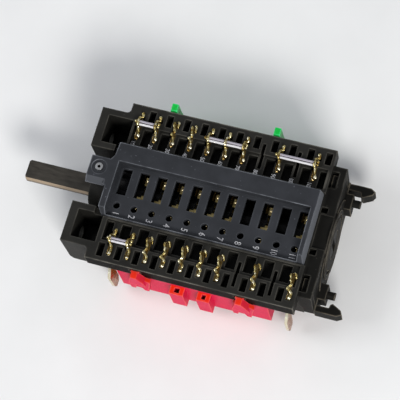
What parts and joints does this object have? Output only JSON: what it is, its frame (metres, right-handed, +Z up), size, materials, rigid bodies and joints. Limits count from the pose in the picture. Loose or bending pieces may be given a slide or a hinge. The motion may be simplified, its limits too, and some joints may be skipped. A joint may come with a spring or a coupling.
{
  "type": "oven selector switch",
  "caption": "Rotary oven selector switch: D-shaft, two fixing wells, two rows of brass terminals beside a slotted contact cover, snap hooks at the rear and a coloured strip on each side",
  "frame": {"origin": "on the shaft axis, in the plane of the front faces of the two fixing wells", "axes": "+X to the rear along the shaft axis (the shaft points to -X), +Y to the far terminal row, +Z up away from the flat underside"},
  "size_m": [0.0951, 0.05, 0.0256],
  "materials": {
    "housing": "matt thermoset",
    "cover": "satin moulded",
    "shaft": "dark burnished",
    "steel": "satin",
    "drum": "satin moulded",
    "drum_light": "satin moulded",
    "terminal": "stamped, bright",
    "contact": "rolled spring strip",
    "jumper": "tinned",
    "strip_red": "satin moulded",
    "strip_green": "satin moulded"
  },
  "bodies": {
    "switch_body": {"housing": "housing", "contact_cover": "cover", "cover_rivet": "steel", "detent_spring": "steel", "rear_end_cap": "housing", "near_strip": "strip_red", "far_strip": "strip_green", "near_terminal_01": "terminal", "far_terminal_01": "terminal", "near_terminal_02": "terminal", "far_terminal_02": "terminal", "near_terminal_03": "terminal", "far_terminal_03": "terminal", "near_terminal_04": "terminal", "far_terminal_04": "terminal", "near_terminal_05": "terminal", "far_terminal_05": "terminal", "near_terminal_06": "terminal", "far_terminal_06": "terminal", "near_terminal_07": "terminal", "far_terminal_07": "terminal", "near_terminal_09": "terminal", "far_terminal_09": "terminal", "near_terminal_11": "terminal", "far_terminal_11": "terminal", "near_jumper_1_2": "jumper", "far_jumper_1_2": "jumper", "far_jumper_5_7": "jumper", "far_jumper_9_11": "jumper"},
    "rotor": {"selector_shaft": "shaft", "cam_drum": "drum", "detent_wheel": "drum_light"},
    "detent_nose": {"detent_follower": "drum_light"},
    "contact_02": {"contact_spring_02": "contact"},
    "contact_03": {"contact_spring_03": "contact"},
    "contact_04": {"contact_spring_04": "contact"},
    "contact_05": {"contact_spring_05": "contact"},
    "contact_06": {"contact_spring_06": "contact"},
    "contact_07": {"contact_spring_07": "contact"},
    "contact_09": {"contact_spring_09": "contact"},
    "contact_11": {"contact_spring_11": "contact"}
  },
  "joints": [
    {"name": "selector_spin", "type": "hinge", "parent": "switch_body", "child": "rotor", "pos_m": [0, 0, 0], "axis": [1, 0, 0], "continuous": true},
    {"name": "detent_press", "type": "slide", "parent": "switch_body", "child": "detent_nose", "axis": [0, 0, -1], "range_m": [0, 0.00085], "stiffness_N_per_m": 500, "springref_m": -0.002},
    {"name": "contact_lift_02", "type": "hinge", "parent": "switch_body", "child": "contact_02", "pos_m": [0.01805, -0.009, 0.007], "axis": [1, 0, 0], "range_deg": [0, 2.5], "stiffness_Nm_per_rad": 0.02, "springref_deg": -2.86},
    {"name": "contact_lift_03", "type": "hinge", "parent": "switch_body", "child": "contact_03", "pos_m": [0.02305, -0.009, 0.007], "axis": [1, 0, 0], "range_deg": [0, 2.5], "stiffness_Nm_per_rad": 0.02, "springref_deg": -2.86},
    {"name": "contact_lift_04", "type": "hinge", "parent": "switch_body", "child": "contact_04", "pos_m": [0.02805, -0.009, 0.007], "axis": [1, 0, 0], "range_deg": [0, 2.5], "stiffness_Nm_per_rad": 0.02, "springref_deg": -2.86},
    {"name": "contact_lift_05", "type": "hinge", "parent": "switch_body", "child": "contact_05", "pos_m": [0.03305, -0.009, 0.007], "axis": [1, 0, 0], "range_deg": [0, 2.5], "stiffness_Nm_per_rad": 0.02, "springref_deg": -2.86},
    {"name": "contact_lift_06", "type": "hinge", "parent": "switch_body", "child": "contact_06", "pos_m": [0.03805, -0.009, 0.007], "axis": [1, 0, 0], "range_deg": [0, 2.5], "stiffness_Nm_per_rad": 0.02, "springref_deg": -2.86},
    {"name": "contact_lift_07", "type": "hinge", "parent": "switch_body", "child": "contact_07", "pos_m": [0.04305, -0.009, 0.007], "axis": [1, 0, 0], "range_deg": [0, 2.5], "stiffness_Nm_per_rad": 0.02, "springref_deg": -2.86},
    {"name": "contact_lift_09", "type": "hinge", "parent": "switch_body", "child": "contact_09", "pos_m": [0.05305, -0.009, 0.007], "axis": [1, 0, 0], "range_deg": [0, 2.5], "stiffness_Nm_per_rad": 0.02, "springref_deg": -2.86},
    {"name": "contact_lift_11", "type": "hinge", "parent": "switch_body", "child": "contact_11", "pos_m": [0.06305, -0.009, 0.007], "axis": [1, 0, 0], "range_deg": [0, 2.5], "stiffness_Nm_per_rad": 0.02, "springref_deg": -2.86}
  ]
}
